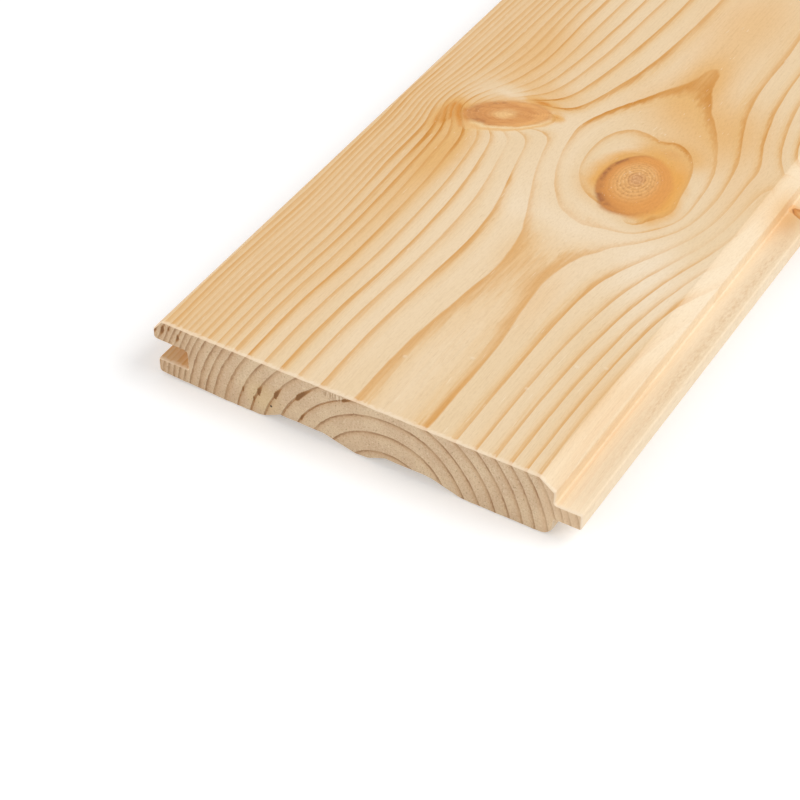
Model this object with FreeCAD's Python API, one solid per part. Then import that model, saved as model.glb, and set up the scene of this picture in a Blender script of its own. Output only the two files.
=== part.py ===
import FreeCAD, Part
import math
import os

os.makedirs("parts", exist_ok=True)

# A planed softwood cladding board, one piece of stock.
# The length runs along Y, the face looks up, and the back lies on Z = 0.
# The groove is on the -X edge and the tongue on the +X edge.
# The origin is under the middle of the board, with the tongue counted in its width.

# Driving dimensions, in millimetres
LENGTH = 900.0
THICKNESS = 14.0
COVER_WIDTH = 90.3            # from the end of the face lip to the shoulder

# Tongue, and the room that the groove leaves around the next board's tongue
TONGUE_LENGTH = 5.7
TONGUE_THICKNESS = 3.8
TONGUE_BELOW_FACE = 5.6       # from the face down to the tongue's upper side
SIDE_CLEARANCE = 0.5          # above the tongue, and again below it
END_CLEARANCE = 2.3           # between the tongue's end and the groove's bottom
BACK_GAP = 0.8                # the back lip is this much shorter, so the face closes first

# Bevels that meet as a V between two laid boards
BEVEL_DEPTH = 2.6
GROOVE_BEVEL_WIDTH = 2.2
TONGUE_BEVEL_WIDTH = 3.4

# Relief channels in the back
MIDDLE_LAND_WIDTH = 3.0
MIDDLE_LAND_RELIEF = 0.3      # the middle land stays this far short of the outer two
CHANNEL_WIDTH = 21.0
CHANNEL_DEPTH = 2.1
STEEP_WALL_WIDTH = 4.2        # the channel's wall on its groove side
GENTLE_WALL_WIDTH = 7.0       # the channel's wall on its tongue side

# The back lip is planed a little thinner towards its end
LIP_TAPER_WIDTH = 16.0
LIP_TAPER = 0.7

# Radii, as the cutters and the sanding leave them
ARRIS_RADIUS = 0.3
LIP_RADIUS = 0.8
TONGUE_TIP_RADIUS = 0.4
GROOVE_BOTTOM_RADIUS = 1.0
ROOT_RADIUS = 0.4
BACK_CORNER_RADIUS = 3.0
LAND_EDGE_RADIUS = 5.0
STEEP_TOP_RADIUS = 0.5
GENTLE_TOP_RADIUS = 6.0
EDGE_SHARE = 0.98             # the most of an edge that the radii at its two ends take

# Places across the board, from the end of the groove's face lip
overall_width = COVER_WIDTH + TONGUE_LENGTH
shoulder = COVER_WIDTH
tongue_tip = shoulder + TONGUE_LENGTH
back_lip = BACK_GAP
lip_taper_start = back_lip + LIP_TAPER_WIDTH
groove_bottom = TONGUE_LENGTH + END_CLEARANCE
middle = overall_width / 2.0

# Heights above the back
face = THICKNESS
bevel_foot = face - BEVEL_DEPTH
tongue_top = face - TONGUE_BELOW_FACE
tongue_under = tongue_top - TONGUE_THICKNESS
groove_top = tongue_top + SIDE_CLEARANCE
groove_under = tongue_under - SIDE_CLEARANCE


def back_channel(left, left_height, right, right_height):
    """Corners of one relief channel, from its tongue side to its groove side.

    left and right are where the channel meets the lands beside it, and the
    heights are those of these lands above the outer lands.
    """
    return [
        (right, right_height, LAND_EDGE_RADIUS),
        (right - GENTLE_WALL_WIDTH, CHANNEL_DEPTH, GENTLE_TOP_RADIUS),
        (left + STEEP_WALL_WIDTH, CHANNEL_DEPTH, STEEP_TOP_RADIUS),
        (left, left_height, LAND_EDGE_RADIUS),
    ]


def section_corners():
    """The board's section as (across, height, radius), clockwise from the face lip."""
    face_side = [
        (0.0, bevel_foot, ARRIS_RADIUS),
        (GROOVE_BEVEL_WIDTH, face, ARRIS_RADIUS),
        (shoulder - TONGUE_BEVEL_WIDTH, face, ARRIS_RADIUS),
        (shoulder, bevel_foot, ARRIS_RADIUS),
    ]
    tongue_side = [
        (shoulder, tongue_top, ROOT_RADIUS),
        (tongue_tip, tongue_top, TONGUE_TIP_RADIUS),
        (tongue_tip, tongue_under, TONGUE_TIP_RADIUS),
        (shoulder, tongue_under, ROOT_RADIUS),
        (shoulder, 0.0, BACK_CORNER_RADIUS),
    ]
    middle_start = middle - MIDDLE_LAND_WIDTH / 2.0
    middle_end = middle + MIDDLE_LAND_WIDTH / 2.0
    back = back_channel(middle_end, MIDDLE_LAND_RELIEF, middle_end + CHANNEL_WIDTH, 0.0)
    back += back_channel(middle_start - CHANNEL_WIDTH, 0.0, middle_start, MIDDLE_LAND_RELIEF)
    groove_side = [
        (lip_taper_start, 0.0, LAND_EDGE_RADIUS),
        (back_lip, LIP_TAPER, LIP_RADIUS),
        (back_lip, groove_under, ARRIS_RADIUS),
        (groove_bottom, groove_under, ARRIS_RADIUS),
        (groove_bottom, groove_top, GROOVE_BOTTOM_RADIUS),
        (0.0, groove_top, LIP_RADIUS),
    ]
    return face_side + tongue_side + back + groove_side


def rounded_outline(corners, y):
    """A closed wire at one Y through the corners, each rounded to its own radius.

    Where two radii ask for more than the edge between them has, both shrink alike.
    """
    points = [FreeCAD.Vector(x - middle, y, z) for x, z, radius in corners]
    count = len(points)
    edge_lengths = []
    half_angles = []
    wanted = []
    for i, corner in enumerate(points):
        ahead = points[(i + 1) % count] - corner
        half_angle = ahead.getAngle(points[i - 1] - corner) / 2.0
        edge_lengths.append(ahead.Length)
        half_angles.append(half_angle)
        wanted.append(corners[i][2] / math.tan(half_angle))
    arcs = []
    for i, corner in enumerate(points):
        following = (i + 1) % count
        room_back = EDGE_SHARE * edge_lengths[i - 1] / (wanted[i - 1] + wanted[i])
        room_ahead = EDGE_SHARE * edge_lengths[i] / (wanted[i] + wanted[following])
        setback = wanted[i] * min(1.0, room_back, room_ahead)
        back = (points[i - 1] - corner).normalize()
        ahead = (points[following] - corner).normalize()
        crown_distance = setback * (1.0 - math.sin(half_angles[i])) / math.cos(half_angles[i])
        crown = corner + (back + ahead).normalize() * crown_distance
        arcs.append(Part.Arc(corner + back * setback, crown, corner + ahead * setback))
    edges = []
    for i, arc in enumerate(arcs):
        edges.append(arc.toShape())
        edges.append(Part.makeLine(arc.EndPoint, arcs[(i + 1) % count].StartPoint))
    return Part.Wire(edges)


section = Part.Face(rounded_outline(section_corners(), -LENGTH / 2.0))
board = section.extrude(FreeCAD.Vector(0, LENGTH, 0))

board.exportStep("parts/board.step")
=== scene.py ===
import math
from collections import namedtuple

import bpy
import numpy as np
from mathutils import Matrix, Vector
from mathutils.geometry import delaunay_2d_cdt
from mathutils.noise import noise as smooth_noise


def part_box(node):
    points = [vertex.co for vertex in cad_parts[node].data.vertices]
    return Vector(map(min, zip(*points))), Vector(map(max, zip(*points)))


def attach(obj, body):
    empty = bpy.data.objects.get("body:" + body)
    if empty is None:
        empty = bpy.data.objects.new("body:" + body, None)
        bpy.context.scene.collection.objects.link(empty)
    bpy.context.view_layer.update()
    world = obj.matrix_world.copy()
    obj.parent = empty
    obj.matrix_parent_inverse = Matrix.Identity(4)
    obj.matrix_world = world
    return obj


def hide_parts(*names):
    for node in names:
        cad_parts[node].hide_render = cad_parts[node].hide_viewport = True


# A planed pine board with a tongue and a groove, lying on a pale floor.
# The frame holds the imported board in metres. Here its section is swept again as a finer mesh,
# and every point of that mesh is given its place in the tree: which growth ring it is in, how the
# fibres run past it and how far it is from each knot. Face, edges, back and ends are all coloured
# from these, so the figure is the same piece of wood from every side.

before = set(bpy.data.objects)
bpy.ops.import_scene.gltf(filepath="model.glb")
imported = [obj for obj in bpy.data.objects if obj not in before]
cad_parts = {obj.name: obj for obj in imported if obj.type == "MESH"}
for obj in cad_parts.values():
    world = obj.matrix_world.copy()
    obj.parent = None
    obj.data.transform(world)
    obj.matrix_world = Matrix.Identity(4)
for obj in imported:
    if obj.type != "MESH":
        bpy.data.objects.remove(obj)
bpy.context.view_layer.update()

MM = 0.001                    # one millimetre, in the frame's metres

# Mesh steps, in millimetres
OUTLINE_STEP = 1.4            # the longest step across a flat of the section
ARRIS_STEP = 0.12             # the short step beside each rounded edge, which keeps flats flat
CAP_STEP = 1.1                # the grid inside the two sawn ends
LONG_STEP = 9.0               # along the board, in plain wood
FIGURE_STEP = 2.4             # along the board, in the stretch that the photo shows
KNOT_STEP = 1.1               # along the board, past a knot in that stretch
FAR_KNOT_STEP = 1.6           # and past a knot beyond it
KNOT_SPAN = 25.0              # how far before and after a knot's middle the steps stay short
FIGURE_END = 180.0            # just past the end of the stretch that the photo shows
CAP_CLEARANCE = 0.45          # the least gap between the rim and that grid, as a share of its step
SAME_PLACE = 1e-6             # metres within which a point counts as lying in the near end
PLACE_DIGITS = 7              # digits of a metre by which the frame's corners are told apart

# The sawn ends: their rim is worn back by this much, more in some places than in others
END_WEAR = 0.30
WEAR_MEAN = 0.7
WEAR_SWING = 0.5
WEAR_LEAST = 0.4
WEAR_OFFSET = 7.3             # sets the two ends apart, so that they wear differently
WEAR_STEPS = ((0.0, 1.0), (0.10, 0.45), (0.28, 0.12), (0.6, 0.0))    # (along, share of the wear)
WEAR_CLUMP = 1.6              # millimetres of rim that wear alike

# The pith's way past the board, in millimetres: along from the near end, across from the middle
# and down from the face. It lies below the back, so the innermost rings are not in the board.
PITH_ALONG = (-10.0, 25.0, 55.0, 85.0, 115.0, 150.0, 230.0, 400.0, 560.0, 720.0, 910.0)
PITH_ACROSS = (6.4, 5.7, 6.4, 7.4, 9.4, 8.9, 9.0, 5.5, 2.0, 5.0, 8.5)
PITH_DEPTH = (20.5, 20.9, 22.2, 23.7, 22.1, 19.8, 19.8, 21.5, 23.5, 22.0, 20.0)
STEM_SKEW = 0.0009            # the rings are wider on the groove side of the pith

# Growth rings: the radius at which each one ends, and how dark its latewood is
RING_ENDS = (0.0, 5.6, 10.3, 14.85, 18.75, 22.0, 25.5, 28.6, 31.6, 34.3, 37.3, 39.7, 41.4, 42.9,
             45.0, 46.3, 47.4, 48.6, 49.8, 50.9, 52.0)
RING_DARKNESS = (0.3, 0.3, 0.58, 0.80, 0.75, 0.85, 0.74, 0.55, 0.80, 0.60, 1.0, 0.60, 0.70, 0.70,
                 0.66, 0.45, 0.50, 0.66, 0.20, 0.66, 0.85)
OUTER_RING = 1.2              # the width of the rings outside these
OUTER_DARKNESS = 0.6
LATEWOOD_MIDDLE = 0.8         # where a ring's latewood lies, as a share of the ring
PALEST_LATEWOOD = 0.05
DARKEST_LATEWOOD = 1.50

# Each knot is a branch that leaves the pith at start and crosses the plane of the face at
# (across, along) with this radius. Its rings crowd round it, stretched a little upwards and
# downwards, and they join the stem's rings over a wide fillet. The dark side and the stained side
# are directions round the branch, in degrees from across. Long is 0 for a round knot and 1 for a
# long one. The knot's outline may lean against its branch, and drift off it (across, along). The
# first three are in the photo, and the third of them comes out through the tongue.
Knot = namedtuple(
    "Knot",
    "start across along radius crowding above below dark_side stain_side long lean drift",
    defaults=(0.0, (0.0, 0.0)),
)
KNOTS = (
    Knot(111.6, 12.6, 90.1, 7.6, 1.158, 0.88, 0.75, 205.0, 335.0, 0.0, 0.0, (0.3, 0.5)),
    Knot(108.0, -19.5, 98.5, 5.0, 4.97, 1.10, 0.90, 180.0, 190.0, 1.0, 0.28, (-1.0, -0.3)),
    Knot(118.0, 58.6, 99.2, 1.9, 4.50, 1.00, 0.85, 180.0, 200.0, 0.5),
    Knot(462.0, -6.0, 441.0, 4.6, 2.60, 0.95, 0.80, 200.0, 340.0, 0.2),
    Knot(470.0, 31.0, 450.0, 3.4, 5.60, 1.00, 0.85, 90.0, 350.0, 0.8),
    Knot(806.0, 19.0, 782.0, 5.4, 2.10, 0.90, 0.75, 210.0, 330.0, 0.1),
)
BRANCH_AGE = 0.224            # how much the rings grow per millimetre along a branch
FILLET = 11.75                # millimetres of ring over which stem and branch join
LONG_KNOT_HEART = (-0.26, -0.06, 0.0)    # a long knot's pale heart, in knot radii from its axis
FAR_FROM_KNOTS = 6.0          # the distance, in knot radii, at which a knot counts for nothing
KNOT_OFFSET = 9               # sets the knots apart, so that no two have the same fine pattern

# Patches on the face, each with its middle, its half widths and how much it adds there: to the
# rings' radii, to the darkness of the ring lines, and to the amber of the wood between them
Patch = namedtuple("Patch", "across along wide long amount")
RING_BULGES = (
    Patch(30.0, 55.0, 10.5, 32.0, -1.15),
    Patch(14.0, 22.0, 6.0, 32.0, -0.75),
    Patch(-24.0, 36.0, 10.0, 14.0, 0.50),
    Patch(-38.0, 70.0, 9.0, 16.0, -0.90),
    Patch(-27.0, 121.0, 7.0, 13.0, 1.10),
    Patch(-6.0, 130.0, 8.0, 18.0, -0.55),
    Patch(21.0, 147.0, 6.0, 20.0, -0.90),
    Patch(17.0, 118.0, 5.0, 9.0, 0.45),
    Patch(1.5, 119.0, 5.0, 9.0, 0.40),
    Patch(-8.0, 101.0, 3.0, 5.0, 0.40),
    Patch(9.5, 134.0, 2.5, 5.0, -0.50),
    Patch(11.0, 109.5, 9.0, 5.0, 0.85),
    Patch(9.5, 105.0, 5.0, 4.5, 1.15),
    Patch(11.5, 105.5, 1.7, 2.8, 0.60),
    Patch(19.2, 76.3, 3.5, 3.5, -3.10),
    Patch(24.0, 83.0, 3.5, 5.0, -2.40),
    Patch(22.0, 79.3, 2.6, 3.2, -0.90),
)
LINE_PATCHES = (
    Patch(-34.0, 84.0, 6.0, 16.0, 0.35),
    Patch(-32.0, 60.0, 4.0, 18.0, 0.20),
    Patch(-26.9, 83.0, 1.4, 8.0, 0.75),
    Patch(-33.7, 84.0, 1.2, 9.0, 0.55),
    Patch(-18.0, 87.0, 6.0, 6.0, -0.35),
    Patch(-10.8, 76.0, 1.4, 2.4, 0.80),
    Patch(-28.0, 104.5, 8.0, 4.0, -0.75),
    Patch(-24.0, 116.0, 10.0, 14.0, -0.20),
    Patch(-13.0, 105.5, 6.0, 4.0, 0.90),
    Patch(-19.0, 105.5, 4.0, 2.2, 0.70),
    Patch(-9.0, 112.0, 2.5, 6.0, 0.45),
    Patch(21.5, 79.0, 3.0, 3.5, 0.60),
    Patch(16.0, 77.0, 2.2, 2.0, -0.80),
    Patch(-11.0, 84.0, 8.0, 12.0, -0.35),
    Patch(-3.0, 125.0, 5.0, 22.0, 0.70),
    Patch(-2.0, 45.0, 5.0, 16.0, 0.38),
    Patch(36.5, 18.0, 3.0, 24.0, -0.35),
    Patch(3.0, 84.0, 4.0, 10.0, -0.35),
    Patch(30.0, 122.0, 9.0, 14.0, 0.35),
    Patch(31.0, 82.0, 9.0, 19.0, -0.50),
    Patch(19.0, 68.0, 8.0, 7.0, -0.40),
    Patch(6.0, 70.0, 10.0, 6.0, -0.55),
    Patch(10.0, 126.0, 8.0, 9.0, 0.45),
    Patch(16.0, 105.0, 5.0, 4.0, 0.35),
    Patch(-4.5, 89.0, 5.0, 14.0, -0.45),
    Patch(42.5, 95.0, 4.5, 50.0, -0.60),
    Patch(47.0, 60.0, 5.0, 60.0, -0.45),
)
AMBER_PATCHES = (
    Patch(8.0, 158.0, 13.0, 26.0, 0.60),
    Patch(3.0, 118.0, 10.0, 10.0, 0.30),
    Patch(9.5, 130.0, 5.0, 11.0, 0.75),
    Patch(21.0, 115.0, 13.0, 14.0, 0.80),
    Patch(15.0, 102.0, 7.0, 4.0, 1.00),
    Patch(-34.0, 91.0, 1.8, 6.0, 2.50),
    Patch(-31.0, 93.0, 2.2, 2.6, 1.50),
    Patch(-28.9, 89.8, 1.8, 2.6, 1.40),
    Patch(-28.0, 80.0, 6.0, 13.0, 0.80),
    Patch(-12.0, 101.4, 1.3, 1.1, 1.70),
    Patch(-18.0, 104.8, 4.0, 1.3, 1.60),
    Patch(-16.0, 108.0, 8.0, 5.0, 0.45),
    Patch(-27.0, 122.0, 8.0, 20.0, 0.62),
    Patch(-14.0, 126.0, 8.0, 18.0, 0.20),
    Patch(-27.0, 62.0, 5.0, 18.0, 0.45),
    Patch(-25.0, 28.0, 7.0, 26.0, 0.35),
    Patch(3.5, 57.0, 4.5, 11.0, 0.50),
    Patch(14.0, 44.0, 5.0, 16.0, 0.40),
    Patch(2.0, 86.0, 4.0, 6.0, 0.30),
    Patch(21.5, 79.5, 2.2, 3.0, 0.80),
    Patch(-44.0, 112.0, 5.0, 30.0, -0.25),
    Patch(-25.5, 104.5, 5.0, 2.2, -0.85),
    Patch(-33.0, 101.0, 4.0, 4.0, -0.40),
    Patch(-6.0, 74.0, 9.0, 12.0, -0.30),
    Patch(6.0, 69.0, 12.0, 5.0, -0.45),
    Patch(28.0, 64.0, 9.0, 13.0, -0.65),
    Patch(34.0, 48.0, 6.0, 14.0, -0.35),
    Patch(34.0, 95.0, 6.0, 14.0, 0.30),
    Patch(6.0, 14.0, 7.0, 26.0, -0.30),
    Patch(36.0, 26.0, 4.0, 16.0, 0.25),
    Patch(41.0, 25.0, 3.0, 24.0, 0.60),
    Patch(42.0, 66.0, 4.0, 18.0, -0.35),
    Patch(45.0, 98.0, 5.0, 9.0, 1.30),
    Patch(45.0, 60.0, 4.0, 26.0, -0.30),
)

# The wood is paler from the tongue's bevel on, partly paler wood and partly painted light, and most on
# the tongue, where painted light evens out the shade of its shoulder. Beside the knot in the tongue it
# is stained instead.
PALE_AND_LIT_FROM = 38.9
PALE_AND_LIT_EDGE = 0.4              # the width over which the bevel turns paler and painted lighter
TONGUE_FROM = 42.3
TONGUE_EDGE = 1.2             # the width over which the tongue is painted lighter still
TONGUE_PAINTED_LIGHT = 0.35           # and by how much: painted light that evens out the shoulder's shade
TONGUE_STAINS = (Patch(44.0, 102.0, 3.0, 6.0, 0.75),)

# Small dents that handling left on the face (across, along), each with a painted highlight
MARKS = ((25.3, 20.0), (30.5, 30.5), (12.0, 22.3), (0.6, 16.0), (35.5, 33.0))
MARK_RADIUS = 0.7

# Resin in the latewood of the near end, in wedges that taper along a ring line: each wedge's thick
# end as (across, up from the back), its length, which is negative where it runs down, and half its
# thickness. One small hole is beside them, painted dark as the shade inside it, and torn fibres lie
# under the face's edge.
RESIN_SPOTS = (
    (-24.3, 6.8, 3.4, 0.48), (-20.2, 7.6, 4.8, 0.45), (-14.4, 9.5, 7.4, 0.52), (-28.0, 5.6, 2.0, 0.24),
    (-25.4, 4.2, 1.8, 0.26), (-47.2, 12.4, -2.6, 0.28), (-45.8, 13.3, -3.4, 0.40),
    (-44.0, 13.4, -1.6, 0.22), (-42.2, 12.4, -2.6, 0.32), (-3.4, 12.9, 3.2, 0.34),
    (-13.6, 4.2, 3.4, 0.28),
)
RESIN_DEPTH = (5.0, 9.0)      # the resin fades between these distances from the near end
SOAKED = (-22.0, 5.0, 6.0)    # the wood round them is soaked with resin: across, up, and how far
WORM_HOLE = (-20.3, 3.6, 0.30)           # across, up, radius
TORN_FIBRES = (-5.5, 12.9, 3.6, 1.2)     # across, up, half the width, half the height

# The tongue's upper side is a little torn in a band along it
TORN_MIDDLE = 46.2            # the band's middle, across
TORN_WIDTH = 1.3
TORN_ABOVE = -6.2             # nothing below this is torn, counted up from the face
TORN_START = 40.0             # it grows from the near end to here
TORN_END = 105.0              # and is over here
TORN_FADE = 20.0              # over this length

# Colours, from 0 to 255 as a screen shows them: the planed sides
CREAM = (240, 214, 177)
DULL_CREAM = (236, 208, 167)
GROOVE_CREAM = (234, 201, 156)
PALE_CREAM = (247, 228, 200)
AMBER = (230, 180, 112)
STRONG_AMBER = (214, 140, 48)
LATEWOOD_BAND = (229, 181, 110)
LATEWOOD_LINE = (217, 158, 84)
STRONG_LINE = (204, 134, 36)
# paler wood and painted light, on the bevel and tongue
PALE_AND_LIT_WOOD = (255, 234, 202)
FLECK = (252, 236, 212)
# painted highlight of the dents
DENT_HIGHLIGHT = (252, 232, 202)
TORN_RIM = (249, 228, 201)

# The knots and the resin round them
HALO = (230, 170, 86)
SLEEVE = (232, 166, 76)
ROUND_HEART = (218, 162, 106)
ROUND_INNER = (234, 178, 108)
ROUND_OUTER = (226, 155, 74)
PALE_GRIT = (246, 208, 158)
LONG_HEART = (243, 197, 134)
LONG_INNER = (223, 158, 88)
LONG_OUTER = (238, 178, 106)
KNOT_RIM = (152, 88, 38)
YELLOW_BAND = (248, 218, 164)
GOLDEN_BAND = (228, 170, 98)

# The sawn ends
END_WOOD = (231, 204, 168)
DULL_END_WOOD = (222, 192, 157)
PALE_SPOT = (244, 224, 194)
SOAKED_WOOD = (226, 196, 136)
END_BAND = (196, 146, 96)
END_LINE = (144, 96, 52)
TORN_DARK = (150, 108, 66)
TORN_PALE = (250, 232, 200)
RESIN_EDGE = (170, 118, 64)
RESIN_CORE = (132, 88, 44)
# painted shade inside the hole
HOLE_SHADE = (74, 54, 36)
PORE = (140, 102, 66)
# paler wood and painted light, on the tongue's part of the ends
PALE_AND_LIT_END = (246, 214, 174)

# The flat layout of the board, as shares of its square: strips along it, then the ends
LAYOUT_MARGIN = 0.01
STRIP_LENGTH = 0.97
STRIP_WIDTH = 0.385
STRIP_PITCH = 0.405
END_LENGTH = 0.47
END_WIDTH = 0.07
END_PITCH = 0.50
ENDS_FROM = 0.85

# Floor, in metres, and how much it glows for the camera near the board and far from it
FLOOR_HALF = 6.0
FLOOR_GAP = 0.1 * MM          # it lies this far below the back, so that the two never share a plane
FLOOR_GREY = 0.82
NEAR_GLOW = 0.30
FAR_GLOW = 0.64
GLOW_NEAR = 0.8
GLOW_FAR = 3.0

# Soft square lamps, in metres and watts, and the light from all round
Lamp = namedtuple("Lamp", "name place aim size watts")
LAMPS = (
    Lamp("key", (1.6, 0.2, 2.0), (0.0, -0.3, 0.0), 1.6, 39.0),
    Lamp("fill", (-1.4, -2.1, 0.8), (0.0, -0.4, 0.0), 1.2, 12.5),
    Lamp("low", (-1.8, -0.7, 0.3), (0.0, -0.4, 0.0), 0.6, 6.5),
)
WORLD_LIGHT = 0.50
WHITE = (1.0, 1.0, 1.0, 1.0)

# Camera, at the photo's angle
CAMERA_SENSOR = 36.0
CAMERA_AZIMUTH = 31.22
CAMERA_ELEVATION = 41.92
CAMERA_DISTANCE = 0.4382
CAMERA_AIM = (0.0063, -0.4453, 0.0140)
CAMERA_LENS = 104.2


def follow(y, places, values):
    """The smooth curve that passes through the values at the places, read at y."""
    places = np.array(places)
    values = np.array(values)
    slopes = np.gradient(values, places)
    i = np.clip(np.searchsorted(places, y) - 1, 0, len(places) - 2)
    span = places[i + 1] - places[i]
    t = np.clip((y - places[i]) / span, 0.0, 1.0)
    before = values[i] * (1 + 2 * t) + span * slopes[i] * t
    after = values[i + 1] * (3 - 2 * t) - span * slopes[i + 1] * (1 - t)
    return before * (1 - t) ** 2 + after * t ** 2


def pith(along):
    """The pith's place at each distance along: across, along, and height above the face."""
    across = follow(along, PITH_ALONG, PITH_ACROSS)
    depth = follow(along, PITH_ALONG, PITH_DEPTH)
    return np.stack([across, along, -depth], axis=-1)


def branch_frame(knot, points):
    """Each point's distance along a knot's branch, and sideways and upwards from its axis.

    The fourth value is the branch's own radius there.
    """
    start = pith(np.array([knot.start]))[0]
    axis = np.array([knot.across, knot.along, 0.0]) - start
    reach = np.linalg.norm(axis)
    axis = axis / reach
    side = np.array([axis[2], 0.0, -axis[0]])
    side = side / np.linalg.norm(side)
    up = np.cross(axis, side)
    up = up * np.sign(up[1])
    offset = points - start
    outward = offset @ axis
    radius = knot.radius * np.maximum(outward, 1.0) / reach
    return outward, offset @ side, offset @ up, radius


def patched(patches, points):
    """The sum of the patches at each point."""
    total = np.zeros(len(points))
    for patch in patches:
        across = (points[:, 0] - patch.across) / patch.wide
        along = (points[:, 1] - patch.along) / patch.long
        total += patch.amount * np.exp(-across ** 2 - along ** 2)
    return total


def ring_age(points):
    """Which growth ring each point is in, and how far round the pith it lies, both in millimetres.

    The ring is given by the radius that it has in plain wood.
    """
    centre = pith(points[:, 1])
    across = points[:, 0] - centre[:, 0]
    across = across + STEM_SKEW * across ** 2
    ages = [np.hypot(across, points[:, 2] - centre[:, 2])]
    for knot in KNOTS:
        outward, sideways, upwards = branch_frame(knot, points)[:3]
        stretch = np.where(upwards > 0.0, knot.above, knot.below)
        away = np.hypot(sideways, upwards / stretch)
        ages.append(BRANCH_AGE * outward + knot.crowding * away)
    youngest = np.min(ages, axis=0)
    joined = sum(np.exp((youngest - age) / FILLET) for age in ages)
    round_pith = np.arctan2(across, points[:, 2] - centre[:, 2])
    age = youngest - FILLET * np.log(joined) + patched(RING_BULGES, points)
    return age, round_pith * ages[0]


def facing(degrees, sideways, upwards):
    """1 on the side of a branch that faces the given direction, and 0 on the other side."""
    angle = np.arctan2(upwards, sideways) - math.radians(degrees)
    return 0.5 + 0.5 * np.cos(angle)


def figure(points):
    """What the wood is like at each point, by the names that the material reads."""
    age, round_pith = ring_age(points)
    ends = list(RING_ENDS)
    darkness = list(RING_DARKNESS)
    while ends[-1] < age.max() + OUTER_RING:
        ends.append(ends[-1] + OUTER_RING)
        darkness.append(OUTER_DARKNESS)
    rings = np.interp(age, ends, np.arange(len(ends)))
    width = np.interp(rings, np.arange(len(ends) - 1) + 0.5, np.diff(ends))
    latewood = np.interp(rings, np.arange(len(ends)) - 1 + LATEWOOD_MIDDLE, darkness)
    latewood = np.clip(latewood + patched(LINE_PATCHES, points), PALEST_LATEWOOD, DARKEST_LATEWOOD)
    values = {
        "rings": rings,
        "ring_width": width,
        "latewood": latewood,
        "amber": patched(AMBER_PATCHES, points),
        "pale_and_lit": pale_and_lit_wood(points),
        "grain": np.stack([age, round_pith, points[:, 1]], axis=-1),
    }
    values.update(nearest_knot(points))
    return values


def pale_and_lit_wood(points):
    """How pale and painted-light the wood is at each point: 1 on the bevel, more beyond it, less where
    stained. It is paler wood and painted light together.
    """
    bevel = np.clip((points[:, 0] - PALE_AND_LIT_FROM) / PALE_AND_LIT_EDGE, 0.0, 1.0)
    tongue = np.clip((points[:, 0] - TONGUE_FROM) / TONGUE_EDGE, 0.0, 1.0)
    return (bevel + TONGUE_PAINTED_LIGHT * tongue) * (1.0 - patched(TONGUE_STAINS, points))


def nearest_knot(points):
    """Where each point lies round the knot nearest to it, and what that knot is like there."""
    reach = np.full(len(points), FAR_FROM_KNOTS)
    place = np.zeros((len(points), 3))
    dark_side = np.zeros(len(points))
    stain = np.zeros(len(points))
    long = np.zeros(len(points))
    for number, knot in enumerate(KNOTS):
        drifted = points - np.array([*knot.drift, 0.0])
        outward, sideways, upwards, radius = branch_frame(knot, drifted)
        upwards = upwards - knot.lean * sideways
        away = np.hypot(sideways, upwards) / radius
        nearer = away < reach
        outward = outward / knot.radius + KNOT_OFFSET * number
        here = np.stack([sideways / radius, upwards / radius, outward], axis=-1)
        reach = np.where(nearer, away, reach)
        place = np.where(nearer[:, None], here, place)
        dark_side = np.where(nearer, facing(knot.dark_side, sideways, upwards), dark_side)
        stain = np.where(nearer, facing(knot.stain_side, sideways, upwards), stain)
        long = np.where(nearer, knot.long, long)
    return {
        "knot_reach": reach,
        "knot_place": place,
        "knot_dark_side": dark_side,
        "knot_stain": stain,
        "knot_long": long,
    }


def section_of(node):
    """The outline of the frame's board at its near end, as (x, z) points in order, in metres."""
    mesh = node.data
    near = min(v.co.y for v in mesh.vertices)
    following = {}
    for face in mesh.polygons:
        corners = [mesh.vertices[i].co for i in face.vertices]
        at_end = [abs(c.y - near) < SAME_PLACE for c in corners]
        if at_end.count(True) != 2:
            continue
        places = [(round(c.x, PLACE_DIGITS), round(c.z, PLACE_DIGITS)) for c in corners]
        for i, here in enumerate(places):
            ahead = (i + 1) % len(corners)
            if at_end[i] and at_end[ahead]:
                following[here] = places[ahead]
    first = min(following)
    loop = [first]
    while following[loop[-1]] != first:
        loop.append(following[loop[-1]])
    return np.array(loop)


def counter_clockwise(loop):
    """The same loop, turned so that its inside is on the left."""
    x, z = loop[:, 0], loop[:, 1]
    area = np.sum(x * np.roll(z, -1) - np.roll(x, -1) * z)
    return loop if area > 0 else loop[::-1]


def refined(loop):
    """The loop with more points on its flats, and one close to each end of every flat."""
    finer = []
    for a, b in zip(loop, np.roll(loop, -1, axis=0)):
        length = np.linalg.norm(b - a) / MM
        shares = [0.0]
        if length > 4 * ARRIS_STEP:
            steps = max(1, math.ceil((length - 2 * ARRIS_STEP) / OUTLINE_STEP))
            inner = np.linspace(ARRIS_STEP, length - ARRIS_STEP, steps + 1) / length
            shares.extend(inner)
        finer.extend(a + (b - a) * share for share in shares)
    return np.array(finer)


def inward_normals(loop):
    """The direction into the section at each point of a counter-clockwise loop."""
    along = np.roll(loop, -1, axis=0) - np.roll(loop, 1, axis=0)
    normals = np.stack([-along[:, 1], along[:, 0]], axis=-1)
    return normals / np.linalg.norm(normals, axis=1)[:, None]


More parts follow.
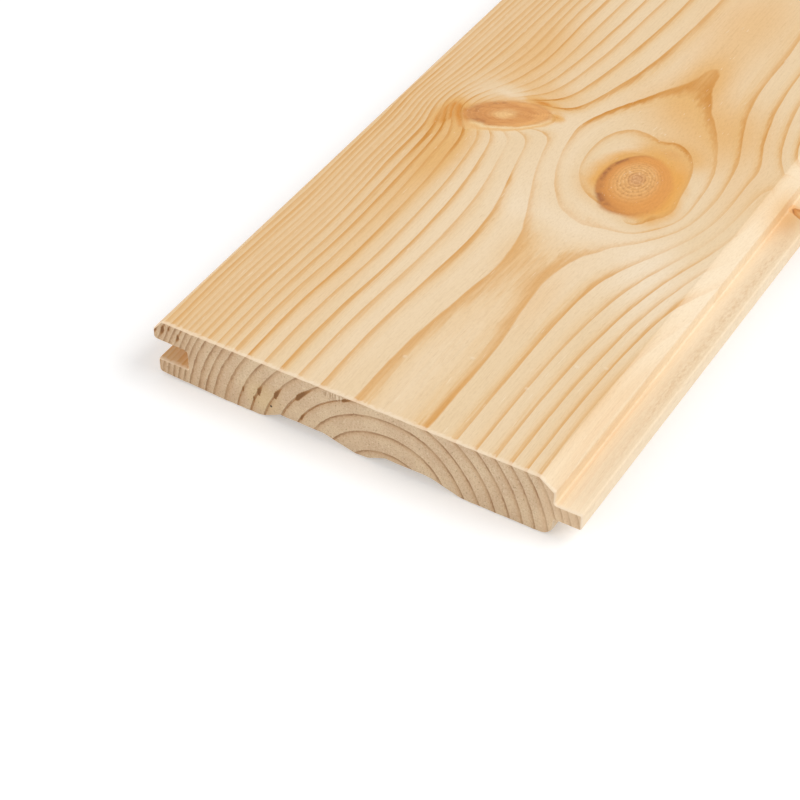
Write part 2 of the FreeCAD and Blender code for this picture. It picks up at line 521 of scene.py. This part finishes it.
def stations(length):
    """Distances from the near end at which the section is set, with the share of end wear at each."""
    def step_at(y):
        if any(abs(y - knot.along) < KNOT_SPAN for knot in KNOTS):
            return KNOT_STEP if y < FIGURE_END else FAR_KNOT_STEP
        return FIGURE_STEP if y < FIGURE_END else LONG_STEP

    near = [place for place, share in WEAR_STEPS]
    far = [length - place for place in reversed(near)]
    between = []
    y = near[-1] + FIGURE_STEP
    while y < far[0] - FIGURE_STEP:
        between.append(y)
        y += step_at(y)
    places = near + between + far
    shares = [share for place, share in WEAR_STEPS]
    return np.array(places), np.array(shares + [0.0] * len(between) + shares[::-1])


def wear_at(loop, end):
    """The share of the wear that each point of the rim takes, for one end of the board."""
    amounts = []
    for x, z in loop / MM:
        spot = Vector((x / WEAR_CLUMP, z / WEAR_CLUMP, WEAR_OFFSET * end))
        amounts.append(WEAR_MEAN + WEAR_SWING * smooth_noise(spot))
    return np.clip(amounts, WEAR_LEAST, 1.0)


def inside(loop, points):
    """True for each point that the loop surrounds."""
    hit = np.zeros(len(points), dtype=bool)
    for (x0, z0), (x1, z1) in zip(loop, np.roll(loop, -1, axis=0)):
        spans = (z0 > points[:, 1]) != (z1 > points[:, 1])
        if z1 != z0:
            crossing = x0 + (points[:, 1] - z0) * (x1 - x0) / (z1 - z0)
            hit ^= spans & (points[:, 0] < crossing)
    return hit


def cap_points(loop):
    """An even grid of points inside the loop, well clear of its line."""
    step = CAP_STEP * MM
    low, high = loop.min(axis=0), loop.max(axis=0)
    xs = np.arange(low[0] + step / 2, high[0], step)
    zs = np.arange(low[1] + step / 2, high[1], step)
    grid = np.array([(x, z) for x in xs for z in zs])
    grid = grid[inside(loop, grid)]
    gaps = np.linalg.norm(grid[:, None, :] - loop[None, :, :], axis=2).min(axis=1)
    return grid[gaps > CAP_CLEARANCE * step]


def cap_triangles(loop, grid):
    """Triangles that fill the loop, as indices into the loop's points and then the grid's."""
    points = [Vector(p) for p in np.concatenate([loop, grid])]
    border = [list(range(len(loop)))]
    made = delaunay_2d_cdt(points, [], border, 1, 1e-9)
    sources = made[3]
    return [[sources[i][0] for i in triangle] for triangle in made[2]]


def swept_board(node):
    """The board's mesh and which of its faces are end grain, swept from the frame's section."""
    low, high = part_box("board")
    loop = refined(counter_clockwise(section_of(node)))
    normals = inward_normals(loop)
    places, shares = stations((high[1] - low[1]) / MM)
    count = len(loop)
    rows = []
    for place, share in zip(places, shares):
        end = 0 if place < places[-1] / 2 else 1
        inset = share * END_WEAR * MM * wear_at(loop, end) if share > 0 else np.zeros(count)
        ring = loop + normals * inset[:, None]
        y = np.full((count, 1), low[1] + place * MM)
        rows.append(np.concatenate([ring[:, :1], y, ring[:, 1:]], axis=1))
    faces = []
    for row in range(len(rows) - 1):
        for i in range(count):
            j = (i + 1) % count
            here, ahead = row * count, (row + 1) * count
            faces.append([here + i, here + j, ahead + j, ahead + i])
    side_faces = len(faces)
    vertices = np.concatenate(rows)
    for row, outward in ((0, 1), (len(rows) - 1, -1)):
        rim = rows[row][:, [0, 2]]
        grid = cap_points(rim)
        first = len(vertices)
        y = np.full((len(grid), 1), rows[row][0, 1])
        vertices = np.concatenate([vertices, np.concatenate([grid[:, :1], y, grid[:, 1:]], axis=1)])
        for triangle in cap_triangles(rim, grid):
            corners = [row * count + i if i < count else first + i - count for i in triangle]
            faces.append(corners[::outward])
    mesh = bpy.data.meshes.new("pine_board")
    mesh.from_pydata(vertices.tolist(), [], faces)
    end_grain = np.zeros(len(faces), dtype=bool)
    end_grain[side_faces:] = True
    lay_out(mesh, loop)
    return mesh, end_grain


def add_values(mesh, name, values, domain="POINT"):
    """Stores one value or one vector per point or face under a name that a material can read."""
    kind, field = ("FLOAT_VECTOR", "vector") if values.ndim == 2 else ("FLOAT", "value")
    layer = mesh.attributes.new(name, kind, domain)
    layer.data.foreach_set(field, values.astype(np.float32).ravel())


def lay_out(mesh, loop):
    """A flat layout of the board: two strips, each with half its length, and the two ends above."""
    count = len(loop)
    steps = np.linalg.norm(np.roll(loop, -1, axis=0) - loop, axis=1)
    around = np.concatenate([[0.0], np.cumsum(steps)]) / steps.sum()
    low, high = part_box("board")
    middle = (low[1] + high[1]) / 2
    side_faces = sum(len(face.vertices) == 4 for face in mesh.polygons)
    layer = mesh.uv_layers.new(name="OFBake")
    for face in mesh.polygons:
        corners = [mesh.vertices[i].co for i in face.vertices]
        far = int(sum(c.y for c in corners) / len(corners) > middle)
        i = face.index % count
        for corner, place, ahead in zip(face.loop_indices, corners, (0, 1, 1, 0)):
            if face.index < side_faces:
                along = (place.y - (low[1], middle)[far]) / (middle - low[1])
                u = LAYOUT_MARGIN + STRIP_LENGTH * along
                v = LAYOUT_MARGIN + STRIP_PITCH * far + STRIP_WIDTH * around[i + ahead]
            else:
                across = (place.x - low[0]) / (high[0] - low[0])
                up = (place.z - low[2]) / (high[2] - low[2])
                u = LAYOUT_MARGIN + END_PITCH * far + END_LENGTH * across
                v = ENDS_FROM + END_WIDTH * up
            layer.data[corner].uv = (u, v)


def board_points(mesh):
    """The mesh's points as the figure counts them: across, along from the near end, and up from
    the face, in millimetres."""
    low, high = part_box("board")
    points = np.empty(len(mesh.vertices) * 3, dtype=np.float32)
    mesh.vertices.foreach_get("co", points)
    points = points.reshape(-1, 3).astype(float)
    return (points - np.array([0.0, low[1], high[2]])) / MM


def torn_tongue(points):
    """How torn each point is, up to 1 in the middle of the band along the tongue's upper side."""
    across = np.exp(-((points[:, 0] - TORN_MIDDLE) / TORN_WIDTH) ** 2) * (points[:, 2] > TORN_ABOVE)
    growing = np.clip(points[:, 1] / TORN_START, 0.0, 1.0)
    fading = np.clip((TORN_END - points[:, 1]) / TORN_FADE, 0.0, 1.0)
    return across * (fading * growing)


def make_board():
    """The board as a piece that stands for the frame's own."""
    mesh, end_grain = swept_board(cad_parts["board"])
    points = board_points(mesh)
    for name, values in figure(points).items():
        add_values(mesh, name, values)
    from_end = np.minimum(points[:, 1], points[:, 1].max() - points[:, 1])
    add_values(mesh, "from_end", from_end)
    add_values(mesh, "torn", torn_tongue(points))
    add_values(mesh, "end_grain", end_grain.astype(float), domain="FACE")
    mesh.shade_smooth()
    touches = {}
    for face in mesh.polygons:
        for key in face.edge_keys:
            touches.setdefault(key, []).append(bool(end_grain[face.index]))
    for edge in mesh.edges:
        kinds = touches[tuple(sorted(edge.vertices))]
        edge.use_edge_sharp = kinds[0] != kinds[-1]
    piece = bpy.data.objects.new("pine_board", mesh)
    bpy.context.collection.objects.link(piece)
    return piece


def srgb(colour):
    """A colour given as a screen shows it, from 0 to 255, as the linear colour of a shader."""
    channels = []
    for value in colour:
        share = value / 255.0
        channels.append(share / 12.92 if share <= 0.04045 else ((share + 0.055) / 1.055) ** 2.4)
    return (*channels, 1.0)


class Nodes:
    """Short calls that build the nodes of one material or world. Each returns its node's output."""

    def __init__(self, name, kept_in=bpy.data.materials):
        self.owner = kept_in.new(name)
        self.owner.use_nodes = True
        self.tree = self.owner.node_tree
        self.tree.nodes.clear()

    def put(self, socket, value):
        if isinstance(value, bpy.types.NodeSocket):
            self.tree.links.new(value, socket)
        else:
            socket.default_value = value

    def add(self, kind, inputs, output=0, **settings):
        node = self.tree.nodes.new(kind)
        for name, value in settings.items():
            setattr(node, name, value)
        for place, value in inputs.items():
            self.put(node.inputs[place], value)
        return node.outputs[output]

    def maths(self, operation, a, b=0.0):
        return self.add("ShaderNodeMath", {0: a, 1: b}, operation=operation)

    def times(self, a, b):
        return self.maths("MULTIPLY", a, b)

    def plus(self, a, b):
        return self.maths("ADD", a, b)

    def scaled(self, vector, x, y, z):
        return self.add("ShaderNodeVectorMath", {0: vector, 1: (x, y, z)}, operation="MULTIPLY")

    def step(self, value, low, high, at_low=0.0, at_high=1.0):
        """Goes smoothly from at_low to at_high while value goes from low to high."""
        inputs = {"Value": value, "From Min": low, "From Max": high, "To Min": at_low, "To Max": at_high}
        return self.add("ShaderNodeMapRange", inputs, interpolation_type="SMOOTHSTEP")

    def value(self, name):
        return self.add("ShaderNodeAttribute", {}, output=2, attribute_name=name)

    def vector(self, name):
        return self.add("ShaderNodeAttribute", {}, output=1, attribute_name=name)

    def noise(self, vector, scale=1.0, detail=2.0, roughness=0.5):
        inputs = {"Vector": vector, "Scale": scale, "Detail": detail, "Roughness": roughness}
        return self.add("ShaderNodeTexNoise", inputs)

    def mix(self, share, a, b):
        return self.add("ShaderNodeMix", {0: share, 6: a, 7: b}, output=2, data_type="RGBA")

    def shade(self, share, colour, amount):
        """Multiplies the colour by amount where share is 1."""
        inputs = {0: share, 6: colour, 7: amount}
        return self.add("ShaderNodeMix", inputs, output=2, data_type="RGBA", blend_type="MULTIPLY")

    def seen(self):
        """1 where the camera looks straight at a surface, or sees it mirrored or through glass."""
        path = self.tree.nodes.new("ShaderNodeLightPath").outputs
        seen = self.maths("MAXIMUM", path["Is Camera Ray"], path["Is Glossy Ray"])
        return self.maths("MAXIMUM", seen, path["Is Transmission Ray"])

    def apart(self, vector):
        node = self.tree.nodes.new("ShaderNodeSeparateXYZ")
        self.put(node.inputs[0], vector)
        return node.outputs


def ring_lines(n, grain, wander, quick_wander, soft, core):
    """The latewood at the end of each ring, 0 to 1: a soft band and the narrow core inside it.

    soft and core are their widths in millimetres, and wander how far the lines stray. The fibres
    feather the band's soft side.
    """
    rings = n.value("rings")
    width = n.value("ring_width")
    slow = n.plus(n.noise(n.scaled(grain, 0.30, 0.12, 0.012), detail=2.0), -0.5)
    quick = n.plus(n.noise(n.scaled(grain, 0.9, 0.4, 0.10), detail=2.0), -0.5)
    stray = n.plus(n.times(slow, wander), n.times(quick, quick_wander))
    place = n.maths("FRACT", n.plus(rings, n.maths("DIVIDE", stray, width)))
    left = n.times(n.maths("SUBTRACT", 1.0, place), width)
    end = n.step(left, 0.0, 0.16)
    feather = n.plus(n.noise(n.scaled(grain, 2.6, 1.2, 0.06), detail=2.0), -0.5)
    ragged = n.plus(left, n.times(feather, 0.9 * core))
    band = n.times(n.step(ragged, soft, 0.15), end)
    line = n.times(n.step(ragged, core, 0.12), end)
    return band, line


def near(n, place, middle, low, high):
    """1 within low millimetres of a middle, falling to 0 at high."""
    away = n.add("ShaderNodeVectorMath", {0: place, 1: middle}, output=1, operation="DISTANCE")
    return n.step(away, low, high, 1.0, 0.0)


def long_grain(n, grain, place):
    """Colour and height of the planed sides."""
    age, round_pith = n.apart(grain)[:2]
    latewood = n.value("latewood")
    band, line = ring_lines(n, grain, 0.7, 0.25, 2.0, 1.0)
    fade = n.step(n.noise(n.scaled(grain, 0.25, 0.1, 0.014), detail=3.0), 0.3, 0.7, 0.70, 1.18)
    latewood = n.times(latewood, fade)
    band = n.times(band, latewood)
    line = n.times(line, latewood)

    # Earlywood, more amber or paler from place to place, then the latewood lines
    tone = n.noise(n.scaled(grain, 0.10, 0.05, 0.012))
    cream = n.mix(n.step(tone, 0.35, 0.65), srgb(DULL_CREAM), srgb(CREAM))
    left = n.step(round_pith, -54.0, -32.0, 1.0, 0.0)
    cream = n.mix(left, cream, srgb(GROOVE_CREAM))
    amber = n.value("amber")
    cream = n.mix(n.step(amber, 0.0, 1.0), cream, srgb(AMBER))
    cream = n.mix(n.step(amber, 0.0, -1.0), cream, srgb(PALE_CREAM))
    cream = with_resin(n, cream, age)
    cream = n.mix(n.step(amber, 1.0, 1.8), cream, srgb(STRONG_AMBER))
    colour = n.mix(n.times(band, 0.66), cream, srgb(LATEWOOD_BAND))
    colour = n.mix(line, colour, srgb(LATEWOOD_LINE))
    strong = n.times(line, n.step(latewood, 0.80, 1.50))
    colour = n.mix(n.times(strong, 0.80), colour, srgb(STRONG_LINE))
    # Paler wood with painted light on the bevel, and more painted light on the tongue
    colour = n.mix(n.times(n.value("pale_and_lit"), 0.55), colour, srgb(PALE_AND_LIT_WOOD))
    colour = with_knots(n, colour)

    # Fibres, resin ducts, pale flecks and the dents of handling, with their highlights painted
    fibres = n.noise(n.scaled(grain, 5.0, 3.0, 0.10), detail=3.0, roughness=0.6)
    colour = n.shade(n.step(fibres, 0.42, 0.72, 0.0, 0.40), colour, (0.88, 0.84, 0.78, 1.0))
    satin = n.noise(n.scaled(grain, 2.4, 1.8, 0.9), detail=3.0, roughness=0.7)
    colour = n.shade(n.step(satin, 0.42, 0.70, 0.0, 0.40), colour, (0.88, 0.85, 0.80, 1.0))
    ducts = n.noise(n.scaled(grain, 4.5, 3.5, 0.28), detail=0.0)
    colour = n.shade(n.step(ducts, 0.76, 0.81, 0.0, 0.4), colour, (0.84, 0.76, 0.64, 1.0))
    flecks = n.noise(n.scaled(grain, 3.0, 3.0, 0.30), detail=0.0)
    colour = n.mix(n.step(flecks, 0.20, 0.14, 0.0, 0.35), colour, srgb(FLECK))
    height = n.plus(n.plus(n.times(fibres, 0.5), n.times(satin, 0.5)), n.times(band, 0.35))
    low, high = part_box("board")
    for across, mark_along in MARKS:
        middle = (across, low[1] / MM + mark_along, high[2] / MM)
        mark = near(n, place, middle, 0.2 * MARK_RADIUS, MARK_RADIUS)
        # Painted highlight in each dent; the dent itself is a bump
        colour = n.mix(n.times(mark, 0.35), colour, srgb(DENT_HIGHLIGHT))
        height = n.plus(height, n.times(mark, -3.0))
    return colour, height, fibres


def with_resin(n, colour, age):
    """Resin round the knots: a soft halo, and a sleeve that fills one ring on its stained side."""
    reach = n.value("knot_reach")
    stain = n.value("knot_stain")
    long = n.value("knot_long")
    cloud = n.plus(n.noise(n.scaled(n.vector("knot_place"), 1.6, 1.6, 1.6), detail=3.0), -0.5)
    up = n.apart(n.vector("knot_place"))[1]
    edge = n.plus(reach, n.times(cloud, 0.45))
    halo = n.times(n.step(edge, 1.65, 1.0), n.step(up, -1.15, -0.45))
    halo = n.times(halo, n.maths("SUBTRACT", 1.0, n.times(long, 0.5)))
    colour = n.mix(halo, colour, srgb(HALO))
    sleeve = n.times(n.step(age, 14.60, 14.90, 1.0, 0.0), n.step(stain, 0.42, 0.80))
    sleeve = n.times(sleeve, n.times(n.step(reach, 1.5, 2.2, 0.95, 0.0), n.step(up, -0.95, -0.72)))
    return n.mix(sleeve, colour, srgb(SLEEVE))


def with_knots(n, colour):
    """The knots themselves, laid over the grain: their fine rings and a dark rim."""
    reach = n.value("knot_reach")
    place = n.vector("knot_place")
    dark_side = n.value("knot_dark_side")
    long = n.value("knot_long")
    cloud = n.plus(n.noise(n.scaled(place, 1.8, 1.8, 1.8), detail=4.0, roughness=0.6), -0.5)
    edge = n.plus(reach, n.times(cloud, n.step(long, 0.0, 1.0, 0.16, 0.34)))

    # Round knots: brown in the middle, golden outside, with fine rings
    rings = n.maths("FRACT", n.plus(n.times(reach, 11.0), n.times(cloud, 1.1)))
    line = n.times(n.step(rings, 0.10, 0.60), n.step(rings, 0.75, 1.0, 1.0, 0.0))
    fine = n.times(line, n.step(reach, 0.35, 0.85, 1.0, 0.15))
    grit = n.noise(n.scaled(place, 12.0, 12.0, 2.0), detail=3.0, roughness=0.7)
    dark_grit = n.times(n.step(grit, 0.50, 0.68), n.step(reach, 0.35, 0.85, 0.7, 0.10))
    pale_grit = n.times(n.step(grit, 0.46, 0.32), n.step(reach, 0.30, 0.70, 0.5, 0.0))
    round_wood = n.mix(n.step(reach, 0.08, 0.35), srgb(ROUND_HEART), srgb(ROUND_INNER))
    round_wood = n.mix(n.step(reach, 0.40, 0.80), round_wood, srgb(ROUND_OUTER))
    round_wood = n.shade(n.times(fine, 0.55), round_wood, (0.74, 0.61, 0.46, 1.0))
    round_wood = n.shade(dark_grit, round_wood, (0.68, 0.57, 0.47, 1.0))
    round_wood = n.mix(pale_grit, round_wood, srgb(PALE_GRIT))
    brown = n.times(n.step(reach, 0.55, 0.92), n.step(dark_side, 0.35, 0.85))
    round_wood = n.shade(brown, round_wood, (0.86, 0.80, 0.74, 1.0))

    # Long knots: pale in the middle, streaked the long way
    streaks = n.noise(n.scaled(place, 1.2, 4.5, 1.0), detail=4.0, roughness=0.65)
    heart = n.add("ShaderNodeVectorMath", {0: n.scaled(place, 1.0, 1.0, 0.0), 1: LONG_KNOT_HEART},
                  output=1, operation="DISTANCE")
    heart = n.plus(heart, n.times(cloud, 0.6))
    long_wood = n.mix(n.step(heart, 0.04, 0.50), srgb(LONG_HEART), srgb(LONG_INNER))
    long_wood = n.mix(n.step(heart, 0.65, 1.05), long_wood, srgb(LONG_OUTER))
    long_wood = n.shade(n.step(streaks, 0.38, 0.64, 0.0, 0.6), long_wood, (0.82, 0.71, 0.60, 1.0))
    long_wood = n.shade(n.times(line, 0.30), long_wood, (0.80, 0.70, 0.60, 1.0))
    wood = n.mix(n.step(long, 0.4, 0.6), round_wood, long_wood)

    # The rim is brown in blotches on the dark side, and thin elsewhere
    blotches = n.step(n.plus(cloud, 0.5), 0.44, 0.58, 0.25, 1.0)
    rim = n.times(n.times(n.step(reach, 0.76, 0.94), n.step(dark_side, 0.45, 0.90)), blotches)
    thin = n.times(n.step(edge, 0.86, 0.98), n.step(long, 0.0, 1.0, 0.40, 0.25))
    thin = n.times(thin, n.maths("MAXIMUM", long, n.step(dark_side, 0.15, 0.60)))
    rim = n.maths("MAXIMUM", rim, thin)
    wood = n.mix(n.times(rim, n.step(long, 0.0, 1.0, 0.90, 0.60)), wood, srgb(KNOT_RIM))

    # Under a long knot, a pale yellow band and then a thin golden one
    side, up = n.apart(place)[:2]
    lower = n.times(n.step(up, -0.2, -0.8), n.times(n.step(side, -1.0, -0.6), n.step(long, 0.6, 0.9)))
    colour = n.mix(n.times(n.times(n.step(edge, 1.55, 1.20), lower), 0.7), colour, srgb(YELLOW_BAND))
    golden = n.times(n.step(edge, 1.10, 1.24), n.step(edge, 1.44, 1.28))
    colour = n.mix(n.times(n.times(golden, lower), 0.6), colour, srgb(GOLDEN_BAND))
    round_edge = n.step(dark_side, 0.15, 0.70, 1.15, 1.04)
    outside = n.plus(round_edge, n.times(long, n.maths("SUBTRACT", 1.16, round_edge)))
    return n.mix(n.step(edge, 0.92, outside, 1.0, 0.0), colour, wood)


def resin_spot(n, grain, ragged, across, up, length, thickness):
    """A wedge of resin that lies along the ring line nearest to a place on the near end, 0 to 1."""
    low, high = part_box("board")
    point = np.array([[across, 0.0, up - (high[2] - low[2]) / MM]])
    age, round_pith = ring_age(point)
    outer_ends = [RING_ENDS[-1] + OUTER_RING * number for number in range(1, 9)]
    ring_end = min([*RING_ENDS, *outer_ends], key=lambda end: abs(end - age[0]))
    age_here, round_here, along = n.apart(grain)
    offset = n.maths("ABSOLUTE", n.plus(age_here, thickness - ring_end))
    uphill = -1.0 if round_pith[0] > 0 else 1.0
    start = round_pith[0] * ring_end / age[0]
    way = n.times(n.plus(round_here, -start), uphill / length)
    half = n.times(n.step(way, -0.15, 0.05), n.step(way, 1.0, 0.0, 0.0, thickness))
    gap = n.plus(n.maths("SUBTRACT", offset, half), n.times(ragged, 0.35))
    strength = n.times(n.step(gap, 0.20, -0.20), n.step(way, 1.0, 0.1, 0.0, 1.0))
    return n.times(strength, n.step(along, *RESIN_DEPTH, 1.0, 0.0))


def end_grain_wood(n, grain, place):
    """Colour and height of the sawn ends."""
    band, line = ring_lines(n, grain, 0.4, 0.12, 1.9, 0.80)
    latewood = n.plus(n.times(n.value("latewood"), 0.5), 0.45)
    fade = n.step(n.noise(n.scaled(grain, 0.5, 0.22, 0.1), detail=3.0), 0.32, 0.62, 0.45, 1.1)
    band = n.times(band, latewood)
    line = n.times(n.times(line, latewood), fade)
    speckle = n.noise(place, scale=2.6, detail=3.0, roughness=0.8)
    pale_spots = n.noise(place, scale=1.4, detail=3.0, roughness=0.7)
    saw = n.noise(n.scaled(place, 2.6, 1.0, 0.35), detail=2.0)
    cloud = n.noise(place, scale=0.18, detail=2.0)
    colour = n.mix(n.step(cloud, 0.35, 0.65), srgb(END_WOOD), srgb(DULL_END_WOOD))
    colour = n.shade(n.step(speckle, 0.46, 0.68), colour, (0.78, 0.71, 0.62, 1.0))
    colour = n.mix(n.step(pale_spots, 0.54, 0.72, 0.0, 0.7), colour, srgb(PALE_SPOT))
    colour = n.shade(n.step(saw, 0.50, 0.70, 0.0, 0.35), colour, (0.88, 0.85, 0.80, 1.0))
    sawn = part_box("board")[0][1] / MM
    across, up, spread = SOAKED
    soaked = near(n, place, (across, sawn, up), 0.2 * spread, spread)
    colour = n.mix(n.times(soaked, 0.35), colour, srgb(SOAKED_WOOD))
    colour = n.mix(n.times(band, 0.50), colour, srgb(END_BAND))
    colour = n.mix(n.times(line, 0.85), colour, srgb(END_LINE))

    # Torn fibres under the face, resin in the latewood, one hole with painted shade inside, and pores
    across, up, wide, high_up = TORN_FIBRES
    stretched = n.scaled(place, 1.0 / wide, 0.2, 1.0 / high_up)
    middle = (across / wide, 0.2 * sawn, up / high_up)
    torn = near(n, stretched, middle, 0.3, 1.0)
    strokes = n.noise(n.scaled(place, 3.4, 1.0, 0.35), detail=1.0)
    colour = n.mix(n.times(torn, n.step(strokes, 0.50, 0.62, 0.0, 0.5)), colour, srgb(TORN_DARK))
    colour = n.mix(n.times(torn, n.step(strokes, 0.48, 0.36, 0.0, 0.5)), colour, srgb(TORN_PALE))
    ragged = n.plus(n.noise(place, scale=2.2, detail=3.0), -0.5)
    resin = 0.0
    for spot in RESIN_SPOTS:
        resin = n.maths("MAXIMUM", resin, resin_spot(n, grain, ragged, *spot))
    colour = n.mix(n.step(resin, 0.0, 0.5, 0.0, 0.9), colour, srgb(RESIN_EDGE))
    colour = n.mix(n.step(resin, 0.40, 0.95, 0.0, 0.9), colour, srgb(RESIN_CORE))
    across, up, radius = WORM_HOLE
    hole = near(n, place, (across, sawn, up), 0.6 * radius, 1.2 * radius)
    # Painted shade: the hole is dark with the shade inside it
    colour = n.mix(hole, colour, srgb(HOLE_SHADE))
    pores = n.add("ShaderNodeTexVoronoi", {"Vector": place, "Scale": 0.9}, output=0)
    colour = n.mix(n.step(pores, 0.06, 0.15, 0.6, 0.0), colour, srgb(PORE))
    height = n.plus(n.times(speckle, 2.4), n.times(line, 0.8))
    height = n.plus(height, n.times(n.plus(resin, hole), -3.0))
    return colour, height


def pine_material():
    """Planed pine: rings, fibres and knots on the long sides, and sawn end grain on the ends."""
    n = Nodes("pine")
    grain = n.vector("grain")
    is_end = n.value("end_grain")
    place = n.scaled(n.add("ShaderNodeTexCoord", {}, output=3), 1000.0, 1000.0, 1000.0)

    long_colour, long_height, fibres = long_grain(n, grain, place)

    # The fibres along the sawn rim are torn and pale, and part of the tongue is torn and duller
    tear = n.noise(place, scale=1.3, detail=3.0)
    pale = n.step(n.plus(n.value("from_end"), n.times(n.plus(tear, -0.5), 1.8)), 0.25, 1.0, 1.0, 0.0)
    long_colour = n.mix(n.times(pale, 0.60), long_colour, srgb(TORN_RIM))
    torn = n.value("torn")
    chips = n.noise(n.scaled(place, 1.9, 0.55, 1.9), detail=4.0, roughness=0.75)
    torn_shade = n.times(torn, n.step(chips, 0.36, 0.66, 0.15, 1.0))
    long_colour = n.shade(torn_shade, long_colour, (0.84, 0.74, 0.62, 1.0))
    long_height = n.plus(long_height, n.times(n.times(torn, chips), 2.5))

    end_colour, end_height = end_grain_wood(n, grain, place)
    # The tongue's part of the ends is painted lighter in the same way
    end_colour = n.mix(n.times(n.value("pale_and_lit"), 0.30), end_colour, srgb(PALE_AND_LIT_END))
    colour = n.mix(is_end, long_colour, end_colour)
    height = n.plus(n.times(long_height, n.maths("SUBTRACT", 1.0, is_end)), n.times(end_height, is_end))
    bump = n.add("ShaderNodeBump", {"Height": height, "Strength": 0.35, "Distance": 0.0001})
    rough = n.plus(n.plus(n.times(fibres, 0.12), 0.48), n.times(is_end, 0.25))
    shader = n.add("ShaderNodeBsdfPrincipled",
                   {"Base Color": colour, "Roughness": rough, "Normal": bump})
    n.put(n.tree.nodes.new("ShaderNodeOutputMaterial").inputs["Surface"], shader)
    return n.owner


def floor_material():
    """A white floor that looks as white as the backdrop and still keeps the board's shadow."""
    n = Nodes("white_floor")
    matt = n.add("ShaderNodeBsdfDiffuse", {"Color": (FLOOR_GREY, FLOOR_GREY, FLOOR_GREY, 1.0)})
    place = n.add("ShaderNodeTexCoord", {}, output=3)
    away = n.add("ShaderNodeVectorMath", {0: place}, output=1, operation="LENGTH")
    glow = n.times(n.seen(), n.step(away, GLOW_NEAR, GLOW_FAR, NEAR_GLOW, FAR_GLOW))
    glow = n.add("ShaderNodeEmission", {"Color": WHITE, "Strength": glow})
    both = n.add("ShaderNodeAddShader", {0: matt, 1: glow})
    n.put(n.tree.nodes.new("ShaderNodeOutputMaterial").inputs["Surface"], both)
    return n.owner


def make_floor():
    """A wide floor under the board, just clear of its back."""
    sides = ((-1, -1), (1, -1), (1, 1), (-1, 1))
    corners = [(x * FLOOR_HALF, y * FLOOR_HALF, -FLOOR_GAP) for x, y in sides]
    mesh = bpy.data.meshes.new("floor")
    mesh.from_pydata(corners, [], [(0, 1, 2, 3)])
    floor = bpy.data.objects.new("floor", mesh)
    bpy.context.collection.objects.link(floor)
    floor.data.materials.append(floor_material())


def make_world():
    """Even white light from all round, and pure white where the camera sees past the floor."""
    n = Nodes("studio", bpy.data.worlds)
    light = n.add("ShaderNodeBackground", {"Color": WHITE, "Strength": WORLD_LIGHT})
    backdrop = n.add("ShaderNodeBackground", {"Color": WHITE, "Strength": 1.0})
    both = n.add("ShaderNodeMixShader", {0: n.seen(), 1: light, 2: backdrop})
    n.put(n.tree.nodes.new("ShaderNodeOutputWorld").inputs["Surface"], both)
    bpy.context.scene.world = n.owner


def make_lamp(lamp):
    """A soft square lamp that looks from its place towards its aim."""
    data = bpy.data.lights.new(lamp.name, "AREA")
    data.shape = "SQUARE"
    data.size = lamp.size
    data.energy = lamp.watts
    piece = bpy.data.objects.new(lamp.name, data)
    piece.location = lamp.place
    towards = Vector(lamp.aim) - Vector(lamp.place)
    piece.rotation_euler = towards.to_track_quat("-Z", "Y").to_euler()
    bpy.context.collection.objects.link(piece)


def make_camera():
    """The camera at the photo's angle and distance."""
    azimuth = math.radians(CAMERA_AZIMUTH)
    elevation = math.radians(CAMERA_ELEVATION)
    back = Vector((
        math.sin(azimuth) * math.cos(elevation),
        -math.cos(azimuth) * math.cos(elevation),
        math.sin(elevation),
    ))
    data = bpy.data.cameras.new("camera")
    data.sensor_width = CAMERA_SENSOR
    data.lens = CAMERA_LENS
    camera = bpy.data.objects.new("camera", data)
    camera.location = Vector(CAMERA_AIM) + back * CAMERA_DISTANCE
    camera.rotation_euler = (-back).to_track_quat("-Z", "Y").to_euler()
    bpy.context.collection.objects.link(camera)
    bpy.context.scene.camera = camera


board = make_board()
board.data.materials.append(pine_material())
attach(board, "root")
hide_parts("board")

make_floor()
make_world()
for lamp in LAMPS:
    make_lamp(lamp)
make_camera()
bpy.context.scene.view_settings.view_transform = "Standard"
